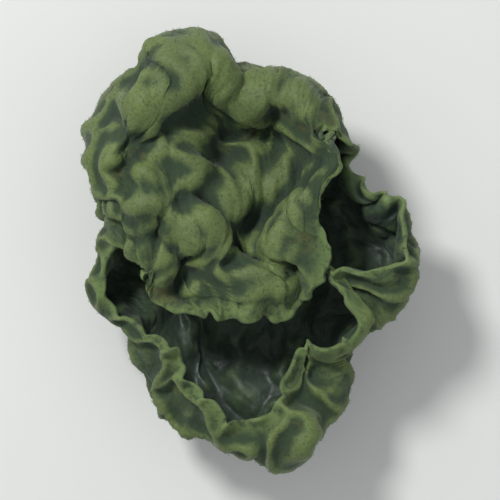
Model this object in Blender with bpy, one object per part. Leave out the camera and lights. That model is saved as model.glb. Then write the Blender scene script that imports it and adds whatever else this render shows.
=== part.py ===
"""A dried wood ear: one leathery fungus, crumpled and hooded, lying on its cut stub.

The ear is a thin sheet that grows out of a short stub. Ribs run from the stub to the rim, one for
each azimuth: a floor, a wall that turns up, and a brim that leans or folds back over the floor. At
the back the brim is long and makes a hood. In front it is short and makes the lip of a bowl.
Metres, +Z up. The origin is on the surface the ear lies on, at the middle of the stub.
"""

from collections import namedtuple

import bpy
import numpy as np

MM = 0.001                  # every size below is in millimetres, every angle in degrees

# The stub and the sheet.
HUB_HEIGHT = 2.6            # the middle of the sheet, over the cut
HUB_FLAT = 4.0              # the floor leaves the level over this length
BEND = 2.6                  # half the length of the bends between floor, wall and brim
SHEET_AT_HUB = 1.5          # thickness
SHEET_AT_RIM = 0.8
STUB_RADIUS = 3.1
STUB_BELOW = 0.8            # the stub runs this far below the cut before it is cut off
STUB_RING = 0.10            # the ring of the sheet that is the stub's lower edge
SHOULDER_RING = 0.20        # the ring where the stub has widened into the sheet
STUB_FLARE = 1.5            # how early the stub reaches the sheet's height as it widens
CUT_BOX = (12.0, 12.0, 6.0)

# How the mesh is made.
CELLS = 60                  # rings from the middle to the rim
RIB_ROWS = 1440             # ribs in the table that the rings are read from
RIB_STEPS = 220
SETTLING = 8                # rounds that even out the sheet
SOFTENING = 25              # rounds that even out the directions of its thickness
FUSE_VOXEL = 0.3            # folds closer than this grow together
KEPT_FACES = 0.08
SPACING_RINGS = (0.3, 0.6, 0.998)   # rings on which the ribs are spread evenly
SPACING_FLOOR = 0.25        # share of the mean gap that is added to every gap between ribs
SPACING_ROUNDS = 120        # rounds that even out the gaps

Rib = namedtuple("Rib", "azimuth floor wall brim floor_lift wall_lift brim_lift back")

# Lengths of each rib's floor, wall and brim, their lifts above the level, and the heading that the
# brim leans back from.
RIBS = (
    Rib(-60, 14.2, 4.0, 5.6, 10, 78, 150, -60),     # bowl, right
    Rib(-41, 12.4, 3.6, 3.6, 15, 70, 120, -41),     # pinched pleat
    Rib(-20, 13.2, 4.6, 7.6, 12, 80, 168, -16),     # cheek
    Rib(4, 11.9, 4.4, 2.8, 14, 68, 84, 4),          # fin
    Rib(26, 9.9, 4.0, 2.0, 16, 66, 60, 26),
    Rib(42, 9.6, 3.2, 1.5, 18, 58, 62, 42),         # notch
    Rib(52, 11.2, 4.8, 1.2, 16, 74, 100, 60),
    Rib(60, 13.0, 6.8, 2.4, 13, 84, 140, 88),
    Rib(68, 13.9, 7.8, 7.2, 11, 86, 172, 104),      # hood, corner
    Rib(76, 14.1, 8.2, 13.2, 10, 86, 182, 107),
    Rib(84, 14.2, 8.3, 19.0, 10, 86, 185, 105),
    Rib(92, 14.5, 8.4, 23.0, 10, 86, 187, 102),     # hood, middle
    Rib(102, 16.2, 8.5, 24.2, 9, 86, 188, 101),
    Rib(114, 18.0, 8.5, 25.0, 8, 86, 188, 102),     # hood, bulge at the back
    Rib(131, 16.4, 7.6, 19.4, 10, 86, 187, 108),
    Rib(150, 13.9, 6.8, 12.4, 12, 86, 185, 113),
    Rib(167, 12.3, 6.2, 5.8, 14, 86, 178, 124),
    Rib(181, 11.8, 5.8, 2.6, 14, 84, 150, 150),     # left side
    Rib(194, 11.9, 5.0, 1.8, 13, 78, 112, 185),     # corner of the mouth
    Rib(209, 12.1, 4.4, 2.6, 12, 78, 116, 209),
    Rib(236, 13.6, 4.2, 4.4, 10, 78, 146, 236),     # bowl, left
    Rib(272, 17.6, 4.4, 4.8, 8, 78, 150, 272),      # bowl, front
)

# The cup pressed into the top of the hood.
CUP_MIDDLE = (0.2, 8.5, 14.5)
CUP_REACH = (5.2, 6.0, 5.0)
CUP_DEPTH = 4.6
CUP_FLATNESS = 1.6          # 1 is a round-bottomed cup, and more is a flatter one

Swell = namedtuple("Swell", "height wave phase direction")

# Slow swells that crumple the whole ear. A wave is in radians per millimetre.
SWELLS = (
    Swell(0.75, (0.42, 0.16, 0.30), 0.19, (0.25, -0.35, 1.0)),
    Swell(0.70, (-0.20, 0.52, 0.22), 2.20, (0.9, 0.2, 0.5)),
    Swell(0.60, (0.30, -0.34, 0.62), 3.85, (-0.3, 1.0, 0.15)),
    Swell(0.40, (0.95, 0.35, -0.30), 0.72, (0.1, -0.3, 1.0)),
    Swell(0.38, (-0.45, 0.85, 0.50), 5.22, (0.8, 0.0, 0.6)),
)
SWELL_START = 2.5           # the hub stays still, and the swells grow over this distance from it
SWELL_GROWTH = 5.0


def eased(x):
    """0 below 0, 1 above 1, and a smooth step between them."""
    x = np.clip(x, 0.0, 1.0)
    return x * x * (3.0 - 2.0 * x)


def between_ribs(azimuth, values):
    """Values of the ribs, joined round the turn by a smooth curve that never overshoots."""
    at = np.array([rib.azimuth for rib in RIBS], float)
    at = np.concatenate([at[-2:] - 360.0, at, at[:3] + 360.0])
    values = np.concatenate([values[-2:], values, values[:3]])
    width = np.diff(at)
    slope = np.diff(values) / width
    tangent = np.zeros(len(at))
    for i in range(1, len(at) - 1):
        if slope[i - 1] * slope[i] > 0:
            before = 2 * width[i] + width[i - 1]
            after = width[i] + 2 * width[i - 1]
            tangent[i] = (before + after) / (before / slope[i - 1] + after / slope[i])
    x = (azimuth - RIBS[0].azimuth) % 360.0 + RIBS[0].azimuth
    i = np.clip(np.searchsorted(at, x, side="right") - 1, 1, len(at) - 3)
    t = (x - at[i]) / width[i]
    start = values[i] * (2 * t**3 - 3 * t**2 + 1) + tangent[i] * width[i] * (t**3 - 2 * t**2 + t)
    end = values[i + 1] * (3 * t**2 - 2 * t**3) + tangent[i + 1] * width[i] * (t**3 - t**2)
    return start + end


def rib_table():
    """The middle of the sheet along every rib, as rows of points from the hub to the rim."""
    azimuth = np.linspace(0.0, 360.0, RIB_ROWS + 1)
    floor, wall, brim, floor_lift, wall_lift, brim_lift = (
        between_ribs(azimuth, np.array([getattr(rib, name) for rib in RIBS], float))[:, None]
        for name in Rib._fields[1:7]
    )
    turned = between_ribs(azimuth, np.array([rib.back - rib.azimuth for rib in RIBS], float))[:, None]
    along = np.linspace(0.0, 1.0, RIB_STEPS) * (floor + wall + brim)
    lift = floor_lift * eased((along - 1.0) / (HUB_FLAT - 1.0))
    lift = lift + (wall_lift - floor_lift) * eased((along - floor + BEND) / (2 * BEND))
    lift = lift + (brim_lift - wall_lift) * eased((along - floor - wall + BEND) / (2 * BEND))
    lift = np.radians(lift)
    heading = np.radians(azimuth[:, None] + turned * eased((along - floor) / wall))
    forward = np.cos(lift)
    step = np.stack([forward * np.cos(heading), forward * np.sin(heading), np.sin(lift)], -1)
    step = 0.5 * (step[:, 1:] + step[:, :-1]) * np.diff(along, axis=1)[..., None]
    rows = np.concatenate([np.zeros((RIB_ROWS + 1, 1, 3)), np.cumsum(step, axis=1)], 1)
    return azimuth, rows + np.array([0.0, 0.0, HUB_HEIGHT])


def share_of_turn(rows):
    """For each row of the rib table, its share of the turn once the ribs are evenly apart."""
    rings = [int(RIB_STEPS * share) for share in SPACING_RINGS]
    gap = np.linalg.norm(np.diff(rows[:, rings], axis=0), axis=2).mean(axis=1)
    gap = gap + SPACING_FLOOR * gap.mean()
    for _ in range(SPACING_ROUNDS):
        gap = (np.roll(gap, 1) + gap + np.roll(gap, -1)) / 3
    share = np.concatenate([[0.0], np.cumsum(gap)])
    return share / share[-1]


def ring_grid():
    """A square grid whose nested squares are the sheet's rings: each point's turn and ring."""
    line = np.arange(-CELLS, CELLS + 1) / CELLS
    x, y = np.meshgrid(line, line, indexing="ij")
    ring = np.maximum(np.abs(x), np.abs(y))
    safe_x = np.where(x == 0, 1.0, x)
    safe_y = np.where(y == 0, 1.0, y)
    quarters = [(x >= np.abs(y)) & (ring > 0), y > np.abs(x), (-x >= np.abs(y)) & (ring > 0)]
    turn = np.select(quarters, [y / safe_x, 2 - x / safe_y, 4 + y / safe_x], 6 - x / safe_y)
    return np.where(ring == 0, 0.0, (turn / 8) % 1.0), ring


def sheet_points():
    """The middle of the sheet as a grid of points, with each point's ring and azimuth."""
    azimuth, rows = rib_table()
    turn, ring = ring_grid()
    row = np.interp(turn, share_of_turn(rows), np.arange(RIB_ROWS + 1))
    step = ring * (RIB_STEPS - 1)
    i = np.clip(row.astype(int), 0, RIB_ROWS - 1)
    j = np.clip(step.astype(int), 0, RIB_STEPS - 2)
    u = (row - i)[..., None]
    v = (step - j)[..., None]
    near = rows[i, j] * (1 - u) + rows[i + 1, j] * u
    far = rows[i, j + 1] * (1 - u) + rows[i + 1, j + 1] * u
    return near * (1 - v) + far * v, ring, np.radians(np.interp(row, np.arange(RIB_ROWS + 1), azimuth))


def evened(grid, rounds):
    """A grid of vectors, each drawn halfway to its neighbours' mean, so many times."""
    for _ in range(rounds):
        mean = grid.copy()
        mean[1:-1, 1:-1] = (grid[2:, 1:-1] + grid[:-2, 1:-1] + grid[1:-1, 2:] + grid[1:-1, :-2]) / 4
        for edge in (0, -1):
            mean[1:-1, edge] = (grid[2:, edge] + grid[:-2, edge]) / 2
            mean[edge, 1:-1] = (grid[edge, 2:] + grid[edge, :-2]) / 2
        for i, next_i in ((0, 1), (-1, -2)):
            for j, next_j in ((0, 1), (-1, -2)):
                mean[i, j] = (grid[next_i, j] + grid[i, next_j]) / 2
        grid = (grid + mean) / 2
    return grid


def inward(grid):
    """Unit vectors square to the sheet, towards the side that faces the hollow."""
    across = np.cross(np.gradient(grid, axis=0), np.gradient(grid, axis=1))
    return across / (np.linalg.norm(across, axis=2, keepdims=True) + 1e-12)


def cupped(grid):
    """The sheet with the cup pressed into the top of the hood."""
    away = (grid - np.array(CUP_MIDDLE)) / np.array(CUP_REACH)
    press = CUP_DEPTH * np.exp(-(np.sum(away**2, axis=2) ** CUP_FLATNESS))
    return grid + inward(grid) * press[..., None]


def swelled(grid):
    """The sheet bent by the slow swells, which leave the hub where it is."""
    distance = np.linalg.norm(grid - np.array([0.0, 0.0, HUB_HEIGHT]), axis=2)
    grown = eased((distance - SWELL_START) / SWELL_GROWTH)
    for swell in SWELLS:
        direction = np.array(swell.direction) / np.linalg.norm(swell.direction)
        height = swell.height * grown * np.sin(grid @ np.array(swell.wave) + swell.phase)
        grid = grid + height[..., None] * direction
    return grid


def stub_face(outer, ring, azimuth):
    """The outer side of the sheet, drawn down near the hub into the stub."""
    out = np.stack([np.cos(azimuth), np.sin(azimuth)], -1)
    grown = eased((ring - STUB_RING) / (SHOULDER_RING - STUB_RING))
    reach = np.hypot(outer[..., 0], outer[..., 1])
    radius = STUB_RADIUS + (reach - STUB_RADIUS) * grown
    radius = np.where(ring <= STUB_RING, ring / STUB_RING * STUB_RADIUS, radius)
    height = -STUB_BELOW + (outer[..., 2] + STUB_BELOW) * eased(grown * STUB_FLARE)
    stub = np.concatenate([out * radius[..., None], height[..., None]], -1)
    return np.where((ring < SHOULDER_RING)[..., None], stub, outer)


def ear_mesh():
    """The closed skin of the ear: inner side, outer side with the stub, and the rim between them."""
    middle, ring, azimuth = sheet_points()
    middle = swelled(cupped(evened(middle, SETTLING)))
    side = evened(inward(middle), SOFTENING)
    side = side / np.linalg.norm(side, axis=2, keepdims=True)
    half = 0.5 * (SHEET_AT_HUB + (SHEET_AT_RIM - SHEET_AT_HUB) * ring)[..., None]
    inner = middle + side * half
    outer = stub_face(middle - side * half, ring, azimuth)
    across = 2 * CELLS + 1
    count = across * across
    index = np.arange(count).reshape(across, across)
    a, b, c, d = index[:-1, :-1], index[1:, :-1], index[1:, 1:], index[:-1, 1:]
    inside = np.stack([a, b, c, d], -1).reshape(-1, 4)
    outside = np.stack([a, d, c, b], -1).reshape(-1, 4) + count
    rim = np.concatenate([index[:-1, 0], index[-1, :-1], index[:0:-1, -1], index[0, :0:-1]])
    following = np.roll(rim, -1)
    edge = np.stack([rim, rim + count, following + count, following], -1)
    points = np.concatenate([inner.reshape(-1, 3), outer.reshape(-1, 3)]) * MM
    mesh = bpy.data.meshes.new("wood_ear")
    mesh.from_pydata(points.tolist(), [], np.concatenate([inside, outside, edge]).tolist())
    return mesh


def skin_material():
    material = bpy.data.materials.new("dried_skin")
    material.use_nodes = True
    shader = material.node_tree.nodes["Principled BSDF"]
    shader.inputs["Base Color"].default_value = (0.075, 0.105, 0.055, 1.0)
    shader.inputs["Roughness"].default_value = 0.75
    shader.inputs["Metallic"].default_value = 0.0
    return material


def cutting_box():
    """The box under the surface the ear lies on, which cuts the stub off flat."""
    bpy.ops.mesh.primitive_cube_add(size=1.0)
    box = bpy.context.object
    box.name = "stub_cut"
    width, depth, height = (size * MM for size in CUT_BOX)
    for corner in box.data.vertices:
        x, y, z = corner.co
        corner.co = (x * width, y * depth, z * height)
    box.location = (0.0, 0.0, -height / 2)
    box.hide_render = True
    box.display_type = "WIRE"
    return box


def wood_ear():
    """The ear. Its skin is fused where folds touch, thinned to flat faces and cut off at the stub."""
    ear = bpy.data.objects.new("wood_ear", ear_mesh())
    bpy.context.collection.objects.link(ear)
    ear.data.materials.append(skin_material())
    ear.data.shade_smooth()
    fuse = ear.modifiers.new("Fuse folds", "REMESH")
    fuse.mode = "VOXEL"
    fuse.voxel_size = FUSE_VOXEL * MM
    fuse.use_smooth_shade = True
    thin = ear.modifiers.new("Thin faces", "DECIMATE")
    thin.ratio = KEPT_FACES
    cut = ear.modifiers.new("Cut the stub", "BOOLEAN")
    cut.operation = "DIFFERENCE"
    cut.solver = "EXACT"
    cut.object = cutting_box()
    return ear


def main():
    for thing in list(bpy.data.objects):
        bpy.data.objects.remove(thing)
    wood_ear()


main()
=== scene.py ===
"""The looks of a dried wood ear: its wrinkled skin, the fuzz on its felted side, and a plain studio.

The skin follows the same ribs as the solid model and adds what drying does to it. Folds are pinched
into it, then it is grown a little and left to buckle, coarse wrinkles first and fine ones last.
The script makes its lengths in millimetres and turns them into metres when a mesh is made.
"""

from collections import namedtuple

import bpy
import numpy as np
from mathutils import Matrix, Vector, noise


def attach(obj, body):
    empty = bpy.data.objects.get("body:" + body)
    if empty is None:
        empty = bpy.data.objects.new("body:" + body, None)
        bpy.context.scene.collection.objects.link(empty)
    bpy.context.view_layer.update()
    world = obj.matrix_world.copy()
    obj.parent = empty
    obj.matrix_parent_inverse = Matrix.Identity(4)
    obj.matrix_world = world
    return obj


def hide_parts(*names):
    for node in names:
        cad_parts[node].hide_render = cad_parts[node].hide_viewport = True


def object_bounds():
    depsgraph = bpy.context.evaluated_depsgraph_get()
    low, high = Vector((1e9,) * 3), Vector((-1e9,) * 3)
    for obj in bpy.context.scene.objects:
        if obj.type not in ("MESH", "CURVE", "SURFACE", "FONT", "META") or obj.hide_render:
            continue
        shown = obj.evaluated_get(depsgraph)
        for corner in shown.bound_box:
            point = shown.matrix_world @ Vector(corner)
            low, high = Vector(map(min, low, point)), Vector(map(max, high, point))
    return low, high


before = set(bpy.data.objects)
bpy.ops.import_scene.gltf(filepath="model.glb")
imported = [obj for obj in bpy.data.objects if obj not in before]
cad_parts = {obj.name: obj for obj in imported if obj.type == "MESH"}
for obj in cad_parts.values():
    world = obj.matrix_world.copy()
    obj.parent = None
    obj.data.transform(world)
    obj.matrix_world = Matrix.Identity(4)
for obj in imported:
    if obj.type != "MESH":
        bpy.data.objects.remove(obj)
CAD_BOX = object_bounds()

bl_info = {
    "name": "Dried wood ear",
    "version": (1, 0, 0),
    "blender": (4, 5, 0),
    "location": "3D View > Sidebar > Wood ear",
    "description": "Makes a dried wood ear mushroom, its fuzz and a plain studio",
    "category": "Add Mesh",
}

MM = 0.001
NODE = "wood_ear"

# The stub and the sheet, as in the solid model.
HUB_HEIGHT = 2.6  # the middle of the sheet, over the cut
HUB_FLAT = 4.0  # the floor leaves the level over this length
BEND = 2.6  # half the length of the bends between floor, wall and brim
STUB_RADIUS = 3.3
STUB_RING = 0.085  # the ring of the sheet that is the stub's lower edge
SHOULDER_RING = 0.20  # the ring where the stub has widened into the sheet
STUB_FLARE = 1.5  # how early the stub reaches the sheet's height as it widens
STUB_ROUND = 0.93  # the stub's radius between its pleats, as a share
STUB_PLEATS = ((0.035, 9, 0.6), (0.02, 23, 0.0))  # height as a share, number and phase
RIB_ROWS = 1440  # ribs in the table that the rings are read from
RIB_STEPS = 440
SPACING_RINGS = (0.3, 0.6)  # rings, with the rim, on which the ribs are spread evenly
SPACING_FLOOR = 0.25  # share of the mean gap that is added to every gap between ribs
SPACING_ROUNDS = 120  # rounds that even out the gaps
SETTLING = 26  # rounds that even out the sheet
SOFTENING = 60  # rounds that even out the directions of its thickness

Rib = namedtuple("Rib", "azimuth floor wall brim floor_lift wall_lift brim_lift back")

RIBS = (
    Rib(-60, 14.2, 4.0, 5.6, 10, 78, 150, -60),  # bowl, right
    Rib(-41, 12.4, 3.6, 3.6, 15, 70, 120, -41),  # pinched pleat
    Rib(-20, 13.2, 4.6, 7.6, 12, 80, 168, -16),  # cheek
    Rib(4, 11.9, 4.4, 2.8, 14, 68, 84, 4),  # fin
    Rib(26, 9.9, 4.0, 2.0, 16, 66, 60, 26),
    Rib(42, 9.6, 3.2, 1.5, 18, 58, 62, 42),  # notch
    Rib(52, 11.2, 4.8, 1.2, 16, 74, 100, 60),
    Rib(60, 13.0, 6.8, 2.4, 13, 84, 140, 88),
    Rib(68, 13.9, 7.8, 7.2, 11, 86, 172, 104),  # hood, corner
    Rib(76, 14.1, 8.2, 13.2, 10, 86, 182, 107),
    Rib(84, 14.2, 8.3, 19.0, 10, 86, 185, 105),
    Rib(92, 14.5, 8.4, 23.0, 10, 86, 187, 102),  # hood, middle
    Rib(102, 16.2, 8.5, 24.2, 9, 86, 188, 101),
    Rib(114, 18.0, 8.5, 25.0, 8, 86, 188, 102),  # hood, bulge at the back
    Rib(131, 16.4, 7.6, 19.4, 10, 86, 187, 108),
    Rib(150, 13.9, 6.8, 12.4, 12, 86, 185, 113),
    Rib(167, 12.3, 6.2, 5.8, 14, 86, 178, 124),
    Rib(181, 11.8, 5.8, 2.6, 14, 84, 150, 150),  # left side
    Rib(194, 11.9, 5.0, 1.8, 13, 78, 112, 185),  # corner of the mouth
    Rib(209, 12.1, 4.4, 2.6, 12, 78, 116, 209),
    Rib(236, 13.6, 4.2, 4.4, 10, 78, 146, 236),  # bowl, left
    Rib(272, 17.6, 4.4, 4.8, 8, 78, 150, 272),  # bowl, front
)

CUP_MIDDLE = (0.2, 8.5, 14.5)
CUP_REACH = (5.2, 6.0, 5.0)
CUP_DEPTH = 4.6
CUP_FLATNESS = 1.6

Swell = namedtuple("Swell", "height wave phase direction")

SWELLS = (
    Swell(0.75, (0.42, 0.16, 0.30), 0.19, (0.25, -0.35, 1.0)),
    Swell(0.70, (-0.20, 0.52, 0.22), 2.20, (0.9, 0.2, 0.5)),
    Swell(0.60, (0.30, -0.34, 0.62), 3.85, (-0.3, 1.0, 0.15)),
    Swell(0.40, (0.95, 0.35, -0.30), 0.72, (0.1, -0.3, 1.0)),
    Swell(0.38, (-0.45, 0.85, 0.50), 5.22, (0.8, 0.0, 0.6)),
)
SWELL_START = 2.5  # the hub stays still, and the swells grow over this distance from it
SWELL_GROWTH = 5.0

# How the rim is worn back: waves round the turn and their share of the wear.
WEAR_WAVES = ((5, 0.30), (9, 0.28), (17, 0.24), (31, 0.16), (53, 0.14), (83, 0.10))
WEAR_WANDER = 1.3  # how far the waves are bunched, in radians

# Folds pinched into the skin where it faces up: a height, a width, and the line they follow from
# above. A negative height is a crease. "hood" is the felted top, "bowl" the bare floor inside.
Fold = namedtuple("Fold", "place height width line")

FOLDS = (
    Fold("hood", -1.00, 0.75, ((-4.4, 3.6), (-2.3, 2.3), (-0.7, 1.8), (1.6, 3.1), (3.6, 4.4))),
    Fold("hood", 0.75, 0.70, ((5.6, 3.4), (4.4, 1.2), (2.8, -1.5), (2.4, -2.6))),
    Fold("hood", 0.85, 0.75, ((-8.4, 3.5), (-5.7, 1.7), (-3.7, -1.0), (-1.7, -2.4), (1.0, -3.3))),
    Fold("hood", 0.75, 0.75, ((1.0, -3.3), (3.0, -5.2), (4.8, -7.6))),
    Fold("hood", 0.60, 0.65, ((4.3, 0.2), (5.8, -2.3), (6.6, -4.6))),
    Fold("hood", 0.70, 0.70, ((-4.6, 3.0), (-3.0, 0.5), (-0.2, -1.6), (2.4, -2.6))),
    Fold("hood", -0.80, 1.00, ((-8.0, 1.9), (-6.6, -0.5), (-4.8, -2.6))),
    Fold("hood", -0.70, 0.80, ((-1.6, 0.6), (0.6, -0.6))),
    Fold("hood", -0.75, 0.70, ((3.9, -1.5), (4.2, -3.2), (4.6, -4.6))),
    Fold("hood", -0.60, 0.90, ((-6.2, -4.3), (-3.0, -4.6), (-0.4, -5.2))),
    Fold("hood", 0.55, 0.80, ((-9.2, 4.4), (-9.3, 0.4), (-8.8, -3.2))),
    Fold("hood", -0.80, 0.70, ((4.8, 5.9), (4.8, 5.1))),
    Fold("hood", 0.80, 0.80, ((1.3, 11.6), (0.9, 9.6), (-0.4, 7.0))),
    Fold("hood", -0.70, 0.80, ((-1.2, 11.6), (-1.9, 9.4), (-3.0, 7.2))),
    Fold("hood", 0.45, 0.70, ((3.6, 12.4), (4.0, 10.0), (3.2, 7.4))),
    Fold("hood", 0.60, 0.70, ((-3.0, 18.2), (-2.5, 16.4), (-2.4, 14.2))),
    Fold("hood", -0.75, 0.90, ((-8.8, 15.8), (-7.4, 14.8), (-6.9, 13.4))),
    Fold("hood", 0.60, 0.80, ((-10.0, 12.6), (-8.4, 11.2), (-7.9, 8.6), (-8.6, 6.0))),
    Fold("hood", -0.60, 0.80, ((-10.8, 10.8), (-10.2, 8.4), (-10.6, 6.2))),
    Fold("hood", -0.50, 0.60, ((9.3, -8.3), (10.6, -9.6))),
    Fold("bowl", 0.60, 0.60, ((-5.4, -6.6), (-4.9, -9.6), (-3.9, -12.8))),
    Fold("bowl", 0.70, 0.70, ((5.6, -8.4), (3.6, -10.6), (3.2, -14.2))),
    Fold("bowl", -0.45, 0.80, ((6.2, -9.2), (5.6, -11.8), (6.0, -14.0))),
    Fold("bowl", 0.40, 0.60, ((-0.8, -8.0), (-0.6, -13.6))),
    Fold("bowl", 0.50, 0.60, ((8.2, 3.6), (9.6, 0.4), (9.6, -3.4))),
)
FOLD_TOP = 8.5  # the hood's folds are above this height and the bowl's below it
FOLD_FADE = 1.5  # the height over which the two kinds fade out at that level
FOLD_FACING = 0.5  # folds are whole where the skin faces up at least this much
FOLD_CREST = 1.6  # 2 is a round crest, and less is a sharper one
FOLD_SETTLING = 8  # rounds that even out the directions the folds stand in
FOLD_SOFTENING = 3  # rounds that even out the folds
FOLD_WANDER = ((0.35, 2.1, 0.7), (0.2, 4.7, 1.9))  # height, wave and phase along y and along x
FOLD_SKEW = 0.7

# Buckling, level by level. A level works on every so many-th point of the grid.
Level = namedtuple("Level", "stride growth rim_growth rounds bending hold")

LEVELS = (
    Level(4, 0.035, 0.020, 400, 0.320, 0.0015),
    Level(2, 0.100, 0.050, 800, 0.288, 0.0012),
    Level(1, 0.070, 0.030, 500, 0.224, 0.0020),
)
GROWING = 0.6  # the sheet grows over this share of a level's rounds
RIM_SHARE = 5  # the higher, the nearer the rim's own growth keeps to the rim
LEAST_GROWTH = 1e-4
REFINING = 3  # rounds that even out each filling in of a coarse grid
PATCH_ROUNDS = 400  # rounds that soften the patches that wrinkle more and less
PATCH_CONTRAST = 0.45
PATCH_RANGE = (0.3, 1.9)
STRETCH = 0.22  # share of each link's error that is mended in a round
TREMBLE = 0.05  # the unevenness that the wrinkles start from
TREMBLE_ROUNDS = 4
SPARE = 0.018  # how far the wrinkles may stand out of the solid's box, as a share of it
STILL_HUB = (0.10, 0.24)  # rings between which the wrinkles grow in
CALM_WALLS = (5.0, 9.0)  # heights over which the wrinkles grow from a share to the whole
CALM_SHARE = 0.30
STILL_SPOTS = ((6.5, 9.7, 2.6), (-9.0, -2.6, 1.8))  # x, y, reach: the tight corners of the hood
STILL_SHARE = 0.85  # share of the wrinkles that is missing in the middle of a still spot
RIM_CEILING = 13.0  # a free rim above this height droops
RIM_DROOP = 0.75  # the share of its extra height that it loses
DROOP_START = 0.70  # the ring where the droop sets in, and the rings it grows over
DROOP_GROWTH = 0.25
SHARPENING = 0.3  # how much the finest wrinkles are raised at the end
SHARPENED_ROUNDS = 6  # wrinkles that this many rounds would even out are raised
SPREAD_STRIDE = 4  # every so many-th point of the grid shows the slow spread
SPREAD_ROUNDS = 20
SPREAD_LOST = 1.0  # share of the growth's outward spread that drying takes back

# Nets of ridges, as veins of the whole sheet and of the felted side alone: millimetres.
Net = namedtuple("Net", "height cell width wander")
SHEET_NET = Net(0.65, 4.6, 0.75, 0.45)
FELT_NET = Net(0.12, 1.8, 0.38, 0.6)
NET_SEED = 2  # fixes how the nets wander
NET_WAVE = 1.7  # waves of the wander in each mesh
NET_CREST = 1.3  # 2 is a round crest, and less is a sharper one
NET_SOFTENING = 2

# The thickness of the skin, its rounded rim and the small unevenness of its two sides.
SHOULDER_GROWTH = 0.1  # rings over which the wrinkles of the felted side grow in off the stub
RIM_BODY = 1.5  # thickness just before the rim, as a share of the rim's
THINNING_START = 0.88  # the ring where the last thinning sets in, and the rings it takes
THINNING_GROWTH = 0.12
LIP_TURNS = (50.0, 0.0, -50.0)
LIP_REACH = 0.9
LIP_FELT = (0.25, 0.7, 0.95)  # how felted each row of the rounded rim is
FELT_CRINKLE = 0.030
BARE_CRINKLE = 0.020
SMOOTH_RIM = 8  # the higher, the nearer to the rim the unevenness ends

# What counts as a ridge: the rounds that even out the small and the broad wrinkles, and the
# heights in millimetres that show as one step of painted light and shade.
FINE_ROUNDS = 10
BROAD_ROUNDS = 120
FELT_STAND = 0.12
FINE_STAND = 0.09
BROAD_STAND = 3.0
EDGE_START = 0.93  # the ring where the worn rim begins, and the rings it takes
EDGE_GROWTH = 0.07
CUT_RING = 0.070  # the ring where the cut face ends, and the rings it takes
CUT_GROWTH = 0.02

# Noises of the finish: size in millimetres, detail, roughness and distortion.
PATCHES = (4.5, 3.0, 0.6, 0.6)
MOTTLE = (1.1, 4.0, 0.62, 0.3)
GRAIN = (0.22, 3.0, 0.6)
FIBRES = (0.09, 2.0, 0.6)
WOOD = (0.5, 5.0, 0.7, 1.5)
CRACKLE_SIZE = 0.9
CRACKLE_DEPTH = 0.15  # millimetres
FIBRE_DEPTH = 0.05
HAIR_SHADES = (1.6, 2.0)
FLOOR_CLOUDS = (30.0, 2.0)

# The hairs.
HAIR_SIDES = 3
HAIR_BOW = 0.55  # how far the tip bends over, as a share of the length
HAIR_TIP = 0.25  # radius at the tip, as a share of the root's
HAIR_LEAN = (0.35, 1.25)  # least and most lean, in radians
HAIR_HEADING = 3.14  # hairs lean every way, up to this far either side
HAIR_SIZES = (0.5, 1.5)
CLUMP_SIZE = 1.6
CLUMP_RANGE = (0.35, 0.65)  # the noise that gives the thinnest and the thickest fuzz
CLUMP_SHARES = (0.25, 1.75)

# The studio, in lengths of the ear's longest side from its middle.
FLOOR_REACH = 60
FLOOR_DROP = 0.02  # millimetres that the floor lies below the cut
KEY_PLACE = (-3.2, 3.6, 6.0)
KEY_SIZE = 1.8
FILL_PLACE = (5.0, -3.5, 4.5)
FILL_SIZE = 6.0
SKY_COLOUR = (0.93, 0.97, 1.0, 1.0)
SENSOR_WIDTH = 36.0  # millimetres
CAMERA_NEAR = 0.01  # metres
CAMERA_FAR = 10.0


def eased(x):
    """0 below 0, 1 above 1, and a smooth step between them."""
    x = np.clip(x, 0.0, 1.0)
    return x * x * (3.0 - 2.0 * x)


def between_ribs(azimuth, values):
    """Values of the ribs, joined round the turn by a smooth curve that never overshoots."""
    at = np.array([rib.azimuth for rib in RIBS], float)
    at = np.concatenate([at[-2:] - 360.0, at, at[:3] + 360.0])
    values = np.concatenate([values[-2:], values, values[:3]])
    width = np.diff(at)
    slope = np.diff(values) / width
    tangent = np.zeros(len(at))
    for i in range(1, len(at) - 1):
        if slope[i - 1] * slope[i] > 0:
            before = 2 * width[i] + width[i - 1]
            after = width[i] + 2 * width[i - 1]
            tangent[i] = (before + after) / (before / slope[i - 1] + after / slope[i])
    x = (azimuth - RIBS[0].azimuth) % 360.0 + RIBS[0].azimuth
    i = np.clip(np.searchsorted(at, x, side="right") - 1, 1, len(at) - 3)
    t = (x - at[i]) / width[i]
    start = values[i] * (2 * t**3 - 3 * t**2 + 1) + tangent[i] * width[i] * (t**3 - 2 * t**2 + t)
    end = values[i + 1] * (3 * t**2 - 2 * t**3) + tangent[i + 1] * width[i] * (t**3 - t**2)
    return start + end


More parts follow.
